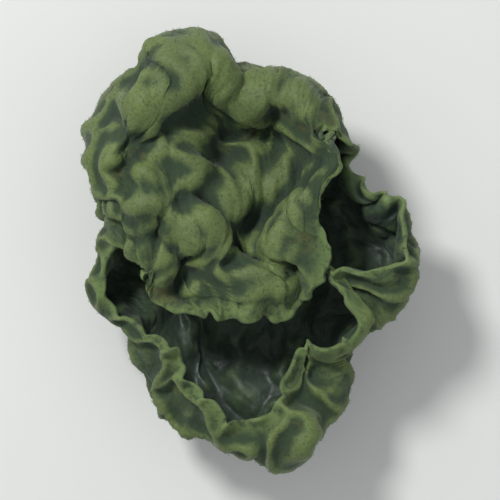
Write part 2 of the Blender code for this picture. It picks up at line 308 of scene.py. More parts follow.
def rib_table():
    """The middle of the sheet along every rib, as rows of points from the hub to the rim."""
    azimuth = np.linspace(0.0, 360.0, RIB_ROWS + 1)
    floor, wall, brim, floor_lift, wall_lift, brim_lift = (
        between_ribs(azimuth, np.array([getattr(rib, name) for rib in RIBS], float))[:, None]
        for name in Rib._fields[1:7]
    )
    turned = between_ribs(azimuth, np.array([rib.back - rib.azimuth for rib in RIBS], float))[:, None]
    along = np.linspace(0.0, 1.0, RIB_STEPS) * (floor + wall + brim)
    lift = floor_lift * eased((along - 1.0) / (HUB_FLAT - 1.0))
    lift = lift + (wall_lift - floor_lift) * eased((along - floor + BEND) / (2 * BEND))
    lift = lift + (brim_lift - wall_lift) * eased((along - floor - wall + BEND) / (2 * BEND))
    lift = np.radians(lift)
    heading = np.radians(azimuth[:, None] + turned * eased((along - floor) / wall))
    forward = np.cos(lift)
    step = np.stack([forward * np.cos(heading), forward * np.sin(heading), np.sin(lift)], -1)
    step = 0.5 * (step[:, 1:] + step[:, :-1]) * np.diff(along, axis=1)[..., None]
    rows = np.concatenate([np.zeros((RIB_ROWS + 1, 1, 3)), np.cumsum(step, axis=1)], 1)
    return azimuth, rows + np.array([0.0, 0.0, HUB_HEIGHT])


def share_of_turn(rows):
    """For each row of the rib table, its share of the turn once the ribs are evenly apart."""
    rings = [int(RIB_STEPS * ring) for ring in SPACING_RINGS] + [RIB_STEPS - 1]
    gap = np.linalg.norm(np.diff(rows[:, rings], axis=0), axis=2).mean(axis=1)
    gap = gap + SPACING_FLOOR * gap.mean()
    for _ in range(SPACING_ROUNDS):
        gap = (np.roll(gap, 1) + gap + np.roll(gap, -1)) / 3
    share = np.concatenate([[0.0], np.cumsum(gap)])
    return share / share[-1]


def ring_grid(cells):
    """A square grid whose nested squares are the sheet's rings: each point's turn and ring."""
    line = np.arange(-cells, cells + 1) / cells
    x, y = np.meshgrid(line, line, indexing="ij")
    ring = np.maximum(np.abs(x), np.abs(y))
    safe_x = np.where(x == 0, 1.0, x)
    safe_y = np.where(y == 0, 1.0, y)
    quarters = [(x >= np.abs(y)) & (ring > 0), y > np.abs(x), (-x >= np.abs(y)) & (ring > 0)]
    turn = np.select(quarters, [y / safe_x, 2 - x / safe_y, 4 + y / safe_x], 6 - x / safe_y)
    return np.where(ring == 0, 0.0, (turn / 8) % 1.0), ring


def raggedness(turn, seed):
    """How far the rim is worn back at each turn, from 0 to 1: slow scallops and quick nicks."""
    rng = np.random.default_rng(seed)
    worn = np.zeros_like(turn)
    for waves, height in WEAR_WAVES:
        phase = rng.uniform(0, 2 * np.pi)
        bunched = WEAR_WANDER * np.sin(4 * np.pi * turn)
        worn += height * np.sin(2 * np.pi * waves * turn + phase + bunched)
    return np.clip(0.5 + 0.6 * worn, 0.0, 1.0)


def sheet_points(cells, worn_back, seed):
    """The middle of the sheet as a grid of points, with each point's ring and azimuth."""
    azimuth, rows = rib_table()
    turn, ring = ring_grid(cells)
    row = np.interp(turn, share_of_turn(rows), np.arange(RIB_ROWS + 1))
    step = ring * (1 - worn_back * raggedness(turn, seed) * ring**3) * (RIB_STEPS - 1)
    i = np.clip(row.astype(int), 0, RIB_ROWS - 1)
    j = np.clip(step.astype(int), 0, RIB_STEPS - 2)
    u = (row - i)[..., None]
    v = (step - j)[..., None]
    near = rows[i, j] * (1 - u) + rows[i + 1, j] * u
    far = rows[i, j + 1] * (1 - u) + rows[i + 1, j + 1] * u
    return near * (1 - v) + far * v, ring, np.radians(np.interp(row, np.arange(RIB_ROWS + 1), azimuth))


def neighbour_mean(grid):
    """The mean of each point's neighbours. Points on the rim only look along the rim."""
    mean = grid.copy()
    mean[1:-1, 1:-1] = (grid[2:, 1:-1] + grid[:-2, 1:-1] + grid[1:-1, 2:] + grid[1:-1, :-2]) / 4
    for edge in (0, -1):
        mean[1:-1, edge] = (grid[2:, edge] + grid[:-2, edge]) / 2
        mean[edge, 1:-1] = (grid[edge, 2:] + grid[edge, :-2]) / 2
    for i, next_i in ((0, 1), (-1, -2)):
        for j, next_j in ((0, 1), (-1, -2)):
            mean[i, j] = (grid[next_i, j] + grid[i, next_j]) / 2
    return mean


def evened(grid, rounds):
    """A grid of vectors, each drawn halfway to its neighbours' mean, so many times."""
    for _ in range(rounds):
        grid = (grid + neighbour_mean(grid)) / 2
    return grid


def inward(grid):
    """Unit vectors square to the sheet, towards the side that faces the hollow."""
    across = np.cross(np.gradient(grid, axis=0), np.gradient(grid, axis=1))
    return across / (np.linalg.norm(across, axis=2, keepdims=True) + 1e-12)


def cupped(grid):
    """The sheet with the cup pressed into the top of the hood."""
    away = (grid - np.array(CUP_MIDDLE)) / np.array(CUP_REACH)
    press = CUP_DEPTH * np.exp(-(np.sum(away**2, axis=2) ** CUP_FLATNESS))
    return grid + inward(grid) * press[..., None]


def swelled(grid):
    """The sheet bent by the slow swells, which leave the hub where it is."""
    distance = np.linalg.norm(grid - np.array([0.0, 0.0, HUB_HEIGHT]), axis=2)
    grown = eased((distance - SWELL_START) / SWELL_GROWTH)
    for swell in SWELLS:
        direction = np.array(swell.direction) / np.linalg.norm(swell.direction)
        height = swell.height * grown * np.sin(grid @ np.array(swell.wave) + swell.phase)
        grid = grid + height[..., None] * direction
    return grid


def distance_to(line, x, y):
    """The distance of each point (x, y) to a line of straight stretches."""
    nearest = np.full(x.shape, 1e9)
    for (ax, ay), (bx, by) in zip(line[:-1], line[1:]):
        run_x, run_y = bx - ax, by - ay
        along = ((x - ax) * run_x + (y - ay) * run_y) / (run_x**2 + run_y**2)
        along = np.clip(along, 0.0, 1.0)
        nearest = np.minimum(nearest, np.hypot(x - ax - along * run_x, y - ay - along * run_y))
    return nearest


def pinched(grid, depth):
    """The sheet with the folds. Each stands out of, or sinks into, the side that faces up."""
    side = evened(inward(grid), FOLD_SETTLING)
    side = side / np.linalg.norm(side, axis=2, keepdims=True)
    high = eased((grid[..., 2] - FOLD_TOP) / FOLD_FADE) * eased(-side[..., 2] / FOLD_FACING)
    low = eased((FOLD_TOP - grid[..., 2]) / FOLD_FADE) * eased(side[..., 2] / FOLD_FACING)
    wander = sum(
        height * np.sin(wave * grid[..., axis] + phase)
        for axis, (height, wave, phase) in zip((1, 0), FOLD_WANDER)
    )
    x, y = grid[..., 0] + wander, grid[..., 1] - FOLD_SKEW * wander
    lifted = np.zeros(x.shape)
    for fold in FOLDS:
        shape = np.exp(-((distance_to(fold.line, x, y) / fold.width) ** FOLD_CREST))
        if fold.place == "hood":
            lifted -= fold.height * shape * high
        else:
            lifted += fold.height * shape * low
    return grid + side * (depth * evened(lifted, FOLD_SOFTENING))[..., None]


def refined(coarse, size):
    """A coarse grid of vectors, filled in until it has so many points a side."""
    while coarse.shape[0] < size:
        fine = np.zeros((2 * coarse.shape[0] - 1, 2 * coarse.shape[1] - 1, coarse.shape[2]))
        fine[::2, ::2] = coarse
        fine[1::2, ::2] = (coarse[1:] + coarse[:-1]) / 2
        fine[:, 1::2] = (fine[:, :-1:2] + fine[:, 2::2]) / 2
        coarse = evened(fine, REFINING)
    return coarse


def links(size):
    """Pairs of slices that pick the two ends of every link between neighbouring points."""
    lower, upper, whole = slice(0, size - 1), slice(1, size), slice(0, size)
    return (
        ((lower, whole), (upper, whole)),
        ((whole, lower), (whole, upper)),
        ((lower, lower), (upper, upper)),
        ((lower, upper), (upper, lower)),
    )


def buckled(rest, growth, level, rng):
    """The sheet after it has grown: its links push, it bends as little as it can, and it is held."""
    pairs = links(rest.shape[0])
    lengths = []
    for first, second in pairs:
        length = np.linalg.norm(rest[second] - rest[first], axis=2)
        lengths.append((length, length * (growth[first] + growth[second]) / 2))
    spacing = np.median(lengths[0][0])
    start = evened(rng.normal(0.0, 1.0, rest.shape[:2] + (1,)), TREMBLE_ROUNDS)
    start = start / start.std() * TREMBLE * spacing * growth[..., None] / growth.max()
    away = inward(rest) * start
    for turn in range(level.rounds):
        grown = min(1.0, (turn + 1) / (GROWING * level.rounds))
        grid = rest + away
        push = np.zeros_like(grid)
        for (first, second), (length, more) in zip(pairs, lengths):
            between = grid[second] - grid[first]
            now = np.sqrt(np.einsum("ijk,ijk->ij", between, between)) + 1e-9
            pull = (0.5 * (1 - (length + grown * more) / now))[..., None] * between
            push[first] += pull
            push[second] -= pull
        away = away + STRETCH * push
        bend = away - neighbour_mean(away)
        away = away - level.bending * (bend - neighbour_mean(bend))
        away = away * (1 - level.hold)
    return rest + away


def veins(grid, cell, width, wander):
    """Heights from 0 to 1 of a net of ridges whose meshes are so wide, read at every point."""
    noise.seed_set(NET_SEED)
    heights = np.zeros(grid.shape[0] * grid.shape[1])
    for i, point in enumerate(grid.reshape(-1, 3)):
        place = Vector(point) / cell
        place += wander * noise.noise_vector(place * NET_WAVE)
        near = noise.voronoi(place)[0]
        heights[i] = (near[1] - near[0]) * cell / width
    crests = np.exp(-(heights**NET_CREST)).reshape(grid.shape[:2] + (1,))
    return evened(crests, NET_SOFTENING)[..., 0]


def calmed(height):
    """The share of the wrinkles' full size at a height: the walls are smoother than the top."""
    low, high = CALM_WALLS
    return CALM_SHARE + (1 - CALM_SHARE) * eased((height - low) / (high - low))


def wrinkled(grid, ring, amount, seed):
    """The sheet with wrinkles of every size, the coarse ones first."""
    rng = np.random.default_rng(seed)
    size = grid.shape[0]
    smooth = grid
    patch = evened(rng.normal(0.0, 1.0, grid.shape[:2] + (1,)), PATCH_ROUNDS)[..., 0]
    patch = np.clip(1 + PATCH_CONTRAST * patch / patch.std(), *PATCH_RANGE)
    free = eased((ring - STILL_HUB[0]) / (STILL_HUB[1] - STILL_HUB[0])) * calmed(grid[..., 2])
    for x, y, reach in STILL_SPOTS:
        away = np.hypot(grid[..., 0] - x, grid[..., 1] - y) / reach
        free = free * (1 - STILL_SHARE * np.exp(-(away**2)))
    for level in LEVELS:
        growth = amount * free * (level.growth * patch + level.rim_growth * ring**RIM_SHARE)
        every = (slice(None, None, level.stride),) * 2
        grown = buckled(grid[every], growth[every] + LEAST_GROWTH, level, rng)
        grid = grid + refined(grown - grid[every], size)
    every = (slice(None, None, SPREAD_STRIDE),) * 2
    grid = grid - SPREAD_LOST * refined(evened((grid - smooth)[every], SPREAD_ROUNDS), size)
    return grid + SHARPENING * (grid - evened(grid, SHARPENED_ROUNDS)) * free[..., None]


def drooped(grid, ring):
    """The sheet with the highest curls of its rim sunk a little."""
    over = np.maximum(grid[..., 2] - RIM_CEILING, 0.0) * eased((ring - DROOP_START) / DROOP_GROWTH)
    grid[..., 2] -= RIM_DROOP * over
    return grid


def stub_face(outer, ring, azimuth):
    """The outer side of the sheet, drawn down near the hub to the cut, with pleats round the stub."""
    pleated = STUB_ROUND
    for height, number, phase in STUB_PLEATS:
        pleated = pleated + height * np.sin(number * azimuth + phase)
    rim = STUB_RADIUS * pleated
    out = np.stack([np.cos(azimuth), np.sin(azimuth)], -1)
    grown = eased((ring - STUB_RING) / (SHOULDER_RING - STUB_RING))
    reach = np.hypot(outer[..., 0], outer[..., 1])
    radius = np.where(ring <= STUB_RING, ring / STUB_RING * rim, rim + (reach - rim) * grown)
    height = outer[..., 2] * eased(grown * STUB_FLARE)
    stub = np.concatenate([out * radius[..., None], height[..., None]], -1)
    return np.where((ring < SHOULDER_RING)[..., None], stub, outer)


def crinkled(shape, rounds, seed):
    """A seeded grid of unevenness with a spread of 1, softened over so many rounds."""
    grid = evened(np.random.default_rng(seed).normal(0.0, 1.0, shape + (1,)), rounds)[..., 0]
    return grid / grid.std()


def rim_loop(size):
    """Indices of the grid's outermost points, in order round the rim."""
    index = np.arange(size * size).reshape(size, size)
    return np.concatenate([index[:-1, 0], index[-1, :-1], index[:0:-1, -1], index[0, :0:-1]])


def drawn_in(points):
    """The points, drawn in towards the origin so that none is far outside the solid model's box."""
    low, high = (np.array(corner) / MM for corner in CAD_BOX)
    spare = SPARE * (high - low)
    for axis in range(3):
        side = points[:, axis]
        out = min(1.0, (high[axis] + spare[axis]) / side.max())
        back = min(1.0, (low[axis] - spare[axis]) / min(side.min(), -1e-6))
        points[:, axis] = side * np.where(side > 0, out, back)
    return points


def dried_sheet(shape):
    """The middle of the dried sheet as a grid, with each point's ring, azimuth and calmness."""
    grid, ring, azimuth = sheet_points(shape.cells, shape.worn_back, shape.seed)
    grid = swelled(cupped(evened(grid, SETTLING)))
    grid = pinched(grid, shape.fold_depth)
    calm = calmed(grid[..., 2])
    ridges = veins(grid, *SHEET_NET[1:]) * off_stub(ring) * calm
    grid = grid - inward(grid) * (SHEET_NET.height * ridges)[..., None]
    grid = drooped(wrinkled(grid, ring, shape.wrinkling, shape.seed), ring)
    return grid, ring, azimuth, calm


def off_stub(ring):
    """0 on the stub, 1 on the open sheet, and a smooth step between them."""
    return eased((ring - SHOULDER_RING) / SHOULDER_GROWTH)


def half_thickness(ring, hub, rim):
    """Half the thickness of the skin. It thins towards the rim, and again just before it."""
    body = hub + (rim * RIM_BODY - hub) * ring
    return 0.5 * (body + (rim - body) * eased((ring - THINNING_START) / THINNING_GROWTH))


def neighbour_in(grid):
    """For each point of the grid, the point one step towards the middle, where it is on the rim."""
    inner = grid.copy()
    inner[0] = grid[1]
    inner[-1] = grid[-2]
    inner[:, 0] = grid[:, 1]
    inner[:, -1] = grid[:, -2]
    for i, next_i in ((0, 1), (-1, -2)):
        for j, next_j in ((0, 1), (-1, -2)):
            inner[i, j] = grid[next_i, next_j]
    return inner


def rim_rows(grid, side, half, loop):
    """Rows of points that round the skin off at its rim, from the inner side to the outer."""
    middle = grid.reshape(-1, 3)[loop]
    lip = middle - neighbour_in(grid).reshape(-1, 3)[loop]
    lip_side = side.reshape(-1, 3)[loop]
    lip = lip - np.sum(lip * lip_side, axis=1, keepdims=True) * lip_side
    lip = lip / (np.linalg.norm(lip, axis=1, keepdims=True) + 1e-9)
    lip_half = half.reshape(-1)[loop][:, None]
    return [
        middle + lip_half * (np.cos(turn) * LIP_REACH * lip + np.sin(turn) * lip_side)
        for turn in np.radians(LIP_TURNS)
    ]


def skin_faces(size, loop, row_count):
    """Faces of the inner side, of the outer side and of the strips that join them at the rim."""
    count = size * size
    index = np.arange(count).reshape(size, size)
    a, b, c, d = index[:-1, :-1], index[1:, :-1], index[1:, 1:], index[:-1, 1:]
    faces = [np.stack([a, b, c, d], -1).reshape(-1, 4)]
    faces.append(np.stack([a, d, c, b], -1).reshape(-1, 4) + count)
    strips = [loop]
    for row in range(row_count):
        strips.append(2 * count + row * len(loop) + np.arange(len(loop)))
    strips.append(loop + count)
    for upper, lower in zip(strips[:-1], strips[1:]):
        faces.append(np.stack([upper, lower, np.roll(lower, -1), np.roll(upper, -1)], -1))
    return np.concatenate(faces)


def skin_facts(grid, side, felt_swell, calm, ring, loop):
    """What the finish needs to know, on the inner side, the outer side and the rim's rows."""
    fine = np.sum((grid - evened(grid, FINE_ROUNDS)) * side, axis=2)
    broad = np.sum((grid - evened(grid, BROAD_ROUNDS)) * side, axis=2)
    # How far the skin stands up: the finish paints highlights where it is high and shade in its
    # creases.
    stand = (felt_swell / FELT_STAND - fine / FINE_STAND - broad / BROAD_STAND) * calm
    lit_ridge = np.clip(0.5 + 0.25 * stand, 0.0, 1.0)
    edge = eased((ring - EDGE_START) / EDGE_GROWTH)
    cut = 1 - eased((ring - CUT_RING) / CUT_GROWTH)
    count = ring.size
    lip_count = len(LIP_TURNS) * len(loop)
    lip_ridge = np.tile(lit_ridge.reshape(-1)[loop], len(LIP_TURNS))
    return {
        "felt": (np.zeros(count), np.ones(count), np.repeat(LIP_FELT, len(loop))),
        "lit_ridge": ((1 - lit_ridge).reshape(-1), lit_ridge.reshape(-1), lip_ridge),
        "edge": (edge.reshape(-1), edge.reshape(-1), np.ones(lip_count)),
        "cut": (np.zeros(count), cut.reshape(-1), np.zeros(lip_count)),
    }


def ear_skin(shape):
    """The closed skin of the ear as a mesh."""
    grid, ring, azimuth, calm = dried_sheet(shape)
    side = evened(inward(grid), SOFTENING)
    side = side / np.linalg.norm(side, axis=2, keepdims=True)
    half = half_thickness(ring, shape.hub_thickness / MM, shape.rim_thickness / MM)

    off_rim = 1 - ring**SMOOTH_RIM
    felt_swell = FELT_CRINKLE * crinkled(ring.shape, 2, shape.seed + 1)
    felt_swell = felt_swell + FELT_NET.height * veins(grid, *FELT_NET[1:])
    felt_swell = felt_swell * off_stub(ring) * off_rim
    bare_swell = BARE_CRINKLE * crinkled(ring.shape, 3, shape.seed + 2) * off_rim
    inner = grid + side * (half + bare_swell)[..., None]
    outer = stub_face(grid - side * (half + felt_swell)[..., None], ring, azimuth)

    size = grid.shape[0]
    loop = rim_loop(size)
    rows = rim_rows(grid, side, half, loop)
    points = drawn_in(np.concatenate([inner.reshape(-1, 3), outer.reshape(-1, 3), *rows])) * MM
    mesh = bpy.data.meshes.new("ear_skin")
    mesh.from_pydata(points.tolist(), [], skin_faces(size, loop, len(rows)).tolist())
    mesh.shade_smooth()
    for name, values in skin_facts(grid, side, felt_swell, calm, ring, loop).items():
        attribute = mesh.attributes.new(name, "FLOAT", "POINT")
        attribute.data.foreach_set("value", np.concatenate(values).astype(np.float32))
    return mesh


class Value:
    """A socket of a shader tree that Python's operators add Math nodes to."""

    def __init__(self, shader, socket):
        self.shader = shader
        self.socket = socket

    def __add__(self, other):
        return self.shader.maths("ADD", self, other)

    def __radd__(self, other):
        return self.shader.maths("ADD", other, self)

    def __sub__(self, other):
        return self.shader.maths("SUBTRACT", self, other)

    def __rsub__(self, other):
        return self.shader.maths("SUBTRACT", other, self)

    def __mul__(self, other):
        return self.shader.maths("MULTIPLY", self, other)

    def __rmul__(self, other):
        return self.shader.maths("MULTIPLY", other, self)


class Shader:
    """A material whose nodes are added one by one."""

    def __init__(self, name):
        self.material = bpy.data.materials.new(name)
        self.material.use_nodes = True
        self.tree = self.material.node_tree
        self.surface = self.tree.nodes["Principled BSDF"]

    def fill(self, node, values):
        for key, value in values.items():
            if isinstance(value, Value):
                self.tree.links.new(value.socket, node.inputs[key])
            else:
                node.inputs[key].default_value = value

    def node(self, kind, settings, values, output=0):
        made = self.tree.nodes.new(kind)
        for key, value in settings.items():
            setattr(made, key, value)
        self.fill(made, values)
        return Value(self, made.outputs[output])

    def maths(self, operation, *values):
        return self.node("ShaderNodeMath", {"operation": operation}, dict(enumerate(values)))

    def mixed(self, factor, low, high):
        """A colour between low and high."""
        return self.node("ShaderNodeMix", {"data_type": "RGBA"}, {0: factor, 6: low, 7: high}, 2)

    def step(self, value, low, high, out_low=0.0, out_high=1.0):
        """The value's smooth way from low to high, as a number from out_low to out_high."""
        values = {0: value, 1: low, 2: high, 3: out_low, 4: out_high}
        return self.node("ShaderNodeMapRange", {"interpolation_type": "SMOOTHSTEP"}, values)

    def fact(self, name):
        """A number that the mesh carries at every point."""
        return self.node("ShaderNodeAttribute", {"attribute_name": name}, {}, 2)

    def place(self):
        """Where the point is, in metres."""
        return self.node("ShaderNodeTexCoord", {}, {}, 3)

    def noise(self, place, millimetres, detail=4.0, roughness=0.55, distortion=0.0):
        """Cloudy noise whose lumps are so many millimetres across."""
        values = {"Vector": place, "Scale": 1 / (millimetres * MM), "Detail": detail,
                  "Roughness": roughness, "Distortion": distortion}
        return self.node("ShaderNodeTexNoise", {}, values)

    def ridges(self, place, millimetres):
        """Sharp-crested noise."""
        values = {"Vector": place, "Scale": 1 / (millimetres * MM), "Detail": 3.0,
                  "Roughness": 0.5, "Gain": 1.4}
        return self.node("ShaderNodeTexNoise", {"noise_type": "RIDGED_MULTIFRACTAL"}, values)

    def bump(self, height, millimetres, strength=1.0, under=None):
        """A normal from a height that is so many millimetres high."""
        values = {"Strength": strength, "Distance": millimetres * MM, "Height": height}
        if under is not None:
            values["Normal"] = under
        return self.node("ShaderNodeBump", {}, values)


def skin_material(looks):
    """Felted olive outside, bare and dark inside, a pale worn rim and a fibrous cut.
    Ridges are painted with highlights and creases with shade, and the inside is painted paler where it
    stands up.
    """
    skin = Shader("dried_ear")
    place = skin.place()
    felt, lit_ridge, edge, cut = (skin.fact(name) for name in ("felt", "lit_ridge", "edge", "cut"))

    patches = skin.noise(place, *PATCHES)
    mottle = skin.noise(place, *MOTTLE)
    grain = skin.noise(place, *GRAIN)
    crackle = skin.ridges(place, CRACKLE_SIZE)

    # Painted light and shade: where the skin stands up it is painted paler, and in its creases darker.
    stand = lit_ridge + 0.35 * (mottle - 0.5) + 0.10 * (grain - 0.5)
    high = skin.step(stand, 0.46, 1.10)
    # Painted shade: the creases, where the skin sinks in, take the darker crease colour.
    felted = skin.mixed(skin.step(stand, -0.20, 0.44), looks.crease_shade_and_patch, looks.felt)
    # Painted highlight: the ridges take the paler ridge colour.
    felted = skin.mixed(high, felted, looks.lit_ridge)
    # The felt's own tone: random darker patches, and below them fine flecks, in the same darker colour.
    felted = skin.mixed(skin.step(patches, 0.40, 0.62, 0.18, 0.0), felted, looks.crease_shade_and_patch)
    ochre = skin.step(patches + 0.3 * (mottle - 0.5), 0.56, 0.72) * skin.step(lit_ridge, 0.80, 0.40)
    felted = skin.mixed(0.55 * ochre, felted, looks.ochre)
    felted = skin.mixed(skin.step(grain, 0.62, 0.38, 0.0, 0.22), felted, looks.crease_shade_and_patch)

    # Painted highlight: the bare inside is painted paler where it stands up.
    bare_highlight = skin.step(lit_ridge + 0.4 * (mottle - 0.5), 0.35, 0.75)
    bare = skin.mixed(bare_highlight, looks.inside, looks.inside_highlight)
    bloom = skin.step(patches, 0.52, 0.70) * skin.step(grain, 0.45, 0.65)
    bare = skin.mixed(0.30 * bloom, bare, looks.felt)

    colour = skin.mixed(felt, bare, felted)
    worn = edge * skin.step(mottle, 0.30, 0.55)
    colour = skin.mixed(0.75 * worn, colour, looks.rim)
    wood = skin.mixed(skin.noise(place, *WOOD), looks.cut, looks.ochre)
    colour = skin.mixed(cut, colour, wood)

    gloss = skin.step(mottle, 0.35, 0.65, 0.42, 0.60)
    matt = skin.step(high, 0.0, 1.0, 0.88, 0.62)
    rough = gloss + felt * (matt - gloss)

    fibres = 0.6 * grain + 0.4 * skin.noise(place, *FIBRES)
    height = felt * fibres + (1 - felt) * (0.7 * crackle)
    normal = skin.bump(mottle + 0.8 * crackle, CRACKLE_DEPTH, 0.6)
    normal = skin.bump(height, FIBRE_DEPTH, 0.8, normal)

    skin.fill(skin.surface, {
        "Base Color": colour,
        "Roughness": rough,
        "Normal": normal,
        "Specular IOR Level": 0.42,
        "Sheen Weight": 0.10,
        "Sheen Roughness": 0.5,
    })
    return skin.material


def hair_material(looks):
    """Dull pale hairs."""
    hair = Shader("fuzz")
    shade = hair.noise(hair.place(), *HAIR_SHADES)
    colour = hair.mixed(hair.step(shade, 0.35, 0.65), looks.felt, looks.hair)
    hair.fill(hair.surface, {"Base Color": colour, "Roughness": 0.85, "Specular IOR Level": 0.3})
    return hair.material


def floor_material(looks):
    """A plain pale floor with the faintest unevenness."""
    floor = Shader("pale_floor")
    shade = floor.noise(floor.place(), *FLOOR_CLOUDS)
    colour = floor.mixed(shade, looks.floor, looks.floor_shade)
    floor.fill(floor.surface, {"Base Color": colour, "Roughness": 0.9, "Specular IOR Level": 0.2})
    return floor.material


class Tree:
    """A geometry node tree, built node by node."""

    def __init__(self, name):
        self.group = bpy.data.node_groups.new(name, "GeometryNodeTree")

    def socket(self, name, kind, way="INPUT"):
        return self.group.interface.new_socket(name, in_out=way, socket_type=kind)

    def node(self, kind, settings, values):
        made = self.group.nodes.new(kind)
        for key, value in settings.items():
            setattr(made, key, value)
        for key, value in values.items():
            if isinstance(value, bpy.types.NodeSocket):
                self.group.links.new(value, made.inputs[key])
            else:
                made.inputs[key].default_value = value
        return made


def fuzz_tree():
    """Short bent hairs scattered over the felted side, leaning every way."""
    tree = Tree("fuzz")
    tree.socket("Geometry", "NodeSocketGeometry")
    tree.socket("Geometry", "NodeSocketGeometry", "OUTPUT")
    for name in ("Hairs per square metre", "Length", "Radius"):
        tree.socket(name, "NodeSocketFloat")
    tree.socket("Seed", "NodeSocketInt")
    tree.socket("Material", "NodeSocketMaterial")
    given = tree.node("NodeGroupInput", {}, {}).outputs
    length = given["Length"]

    felt = tree.node("GeometryNodeInputNamedAttribute", {"data_type": "FLOAT"}, {"Name": "felt"})
    cut = tree.node("GeometryNodeInputNamedAttribute", {"data_type": "FLOAT"}, {"Name": "cut"})
    felted = tree.node("ShaderNodeMath", {"operation": "SUBTRACT"},
                       {0: felt.outputs[0], 1: cut.outputs[0]})
    clumps = tree.node("ShaderNodeTexNoise", {}, {"Scale": 1 / (CLUMP_SIZE * MM), "Detail": 2.0})
    thick = tree.node("ShaderNodeMapRange", {},
                      {0: clumps.outputs[0], 1: CLUMP_RANGE[0], 2: CLUMP_RANGE[1],
                       3: CLUMP_SHARES[0], 4: CLUMP_SHARES[1]})
    density = tree.node("ShaderNodeMath", {"operation": "MULTIPLY"},
                        {0: thick.outputs[0], 1: given["Hairs per square metre"]})
    density = tree.node("ShaderNodeMath", {"operation": "MULTIPLY"},
                        {0: density.outputs[0], 1: felted.outputs[0]})
    spots = tree.node("GeometryNodeDistributePointsOnFaces", {"distribute_method": "RANDOM"},
                      {"Mesh": given["Geometry"], "Density": density.outputs[0], "Seed": given["Seed"]})

    line = tree.node("GeometryNodeCurvePrimitiveLine", {}, {"End": (0.0, 0.0, 1.0)})
    parts = tree.node("GeometryNodeResampleCurve", {}, {"Curve": line.outputs[0], "Count": 2})
    along = tree.node("GeometryNodeSplineParameter", {}, {}).outputs[0]
    bow = tree.node("ShaderNodeMath", {"operation": "MULTIPLY"}, {0: along, 1: along})
    reach = tree.node("ShaderNodeMath", {"operation": "MULTIPLY"}, {0: bow.outputs[0], 1: HAIR_BOW})
    spot = tree.node("ShaderNodeCombineXYZ", {}, {"X": reach.outputs[0], "Z": along})
    scaled = tree.node("ShaderNodeVectorMath", {"operation": "SCALE"},
                       {0: spot.outputs[0], "Scale": length})
    bent = tree.node("GeometryNodeSetPosition", {},
                     {"Geometry": parts.outputs[0], "Position": scaled.outputs[0]})
    taper = tree.node("ShaderNodeMapRange", {}, {0: along, 1: 0.0, 2: 1.0, 3: 1.0, 4: HAIR_TIP})
    round_line = tree.node("GeometryNodeCurvePrimitiveCircle", {},
                           {"Resolution": HAIR_SIDES, "Radius": given["Radius"]})
    hair = tree.node("GeometryNodeSetCurveRadius", {},
                     {"Curve": bent.outputs[0], "Radius": taper.outputs[0]})
    hair = tree.node("GeometryNodeCurveToMesh", {},
                     {"Curve": hair.outputs[0], "Profile Curve": round_line.outputs[0],
                      "Fill Caps": True})

    least = (HAIR_LEAN[0], 0.0, -HAIR_HEADING)
    most = (HAIR_LEAN[1], 0.0, HAIR_HEADING)
    lean = tree.node("FunctionNodeRandomValue", {"data_type": "FLOAT_VECTOR"},
                     {0: least, 1: most, "Seed": given["Seed"]})
    turned = tree.node("FunctionNodeRotateRotation", {"rotation_space": "LOCAL"},
                       {0: spots.outputs["Rotation"], 1: lean.outputs[0]})
    size = tree.node("FunctionNodeRandomValue", {"data_type": "FLOAT"},
                     {2: HAIR_SIZES[0], 3: HAIR_SIZES[1], "Seed": given["Seed"]})
    placed = tree.node("GeometryNodeInstanceOnPoints", {},
                       {"Points": spots.outputs["Points"], "Instance": hair.outputs[0],
                        "Rotation": turned.outputs[0], "Scale": size.outputs[1]})
    whole = tree.node("GeometryNodeRealizeInstances", {}, {0: placed.outputs[0]})
    painted = tree.node("GeometryNodeSetMaterial", {},
                        {"Geometry": whole.outputs[0], "Material": given["Material"]})
    tree.node("NodeGroupOutput", {}, {0: painted.outputs[0]})
    return tree.group


def plain_mesh_of(thing, name):
    """A plain mesh of what a thing's modifiers make of it."""
    depsgraph = bpy.context.evaluated_depsgraph_get()
    mesh = bpy.data.meshes.new_from_object(thing.evaluated_get(depsgraph))
    mesh.name = name
    return mesh


def linked(name, data):
    """A new object in the scene."""
    thing = bpy.data.objects.new(name, data)
    bpy.context.scene.collection.objects.link(thing)
    return thing


def linear(red, green, blue):
    """A display colour of three numbers up to 255 as light."""
    light = [((c / 255 + 0.055) / 1.055) ** 2.4 for c in (red, green, blue)]
    return (*light, 1.0)


def length_of(name, description, default):
    """A length in metres that a user can change."""
    return bpy.props.FloatProperty(
        name=name, description=description, default=default, min=0.0, max=1.0,
        precision=5, unit="LENGTH", subtype="DISTANCE")


def number_of(name, description, default, low=0.0, high=1.0):
    """A plain number that a user can change."""
    return bpy.props.FloatProperty(
        name=name, description=description, default=default, min=low, max=high, precision=3)


def colour_of(name, description, red, green, blue):
    """A colour that a user can change."""
    return bpy.props.FloatVectorProperty(
        name=name, description=description, default=linear(red, green, blue),
        size=4, min=0.0, max=1.0, subtype="COLOR")


class EarShape(bpy.types.PropertyGroup):
    """Sizes of the skin."""

    cells: bpy.props.IntProperty(
        name="Rings", description="Rings of the mesh from the stub to the rim, a multiple of four",
        default=108, min=24, max=108)
    hub_thickness: length_of("Hub thickness", "Thickness of the skin over the stub", 1.3 * MM)
    rim_thickness: length_of("Rim thickness", "Thickness of the skin at its rim", 0.42 * MM)
    worn_back: number_of("Worn rim", "Share of a rib that the rim may be worn back", 0.035)
    fold_depth: number_of("Fold depth", "Height of the pinched folds", 1.0, 0.0, 2.0)
    wrinkling: number_of("Wrinkling", "How much the skin buckles", 1.0, 0.0, 2.0)
    seed: bpy.props.IntProperty(name="Seed", description="Which wrinkles", default=7, min=0)


class FuzzShape(bpy.types.PropertyGroup):
    """Sizes of the fuzz."""

    density: number_of("Hairs per square millimetre", "How thick the fuzz is", 6.0, 0.0, 20.0)
    length: length_of("Hair length", "Length of a hair", 0.14 * MM)
    radius: length_of("Hair radius", "Radius of a hair at its root", 0.012 * MM)
    seed: bpy.props.IntProperty(name="Seed", description="Which hairs", default=3, min=0)


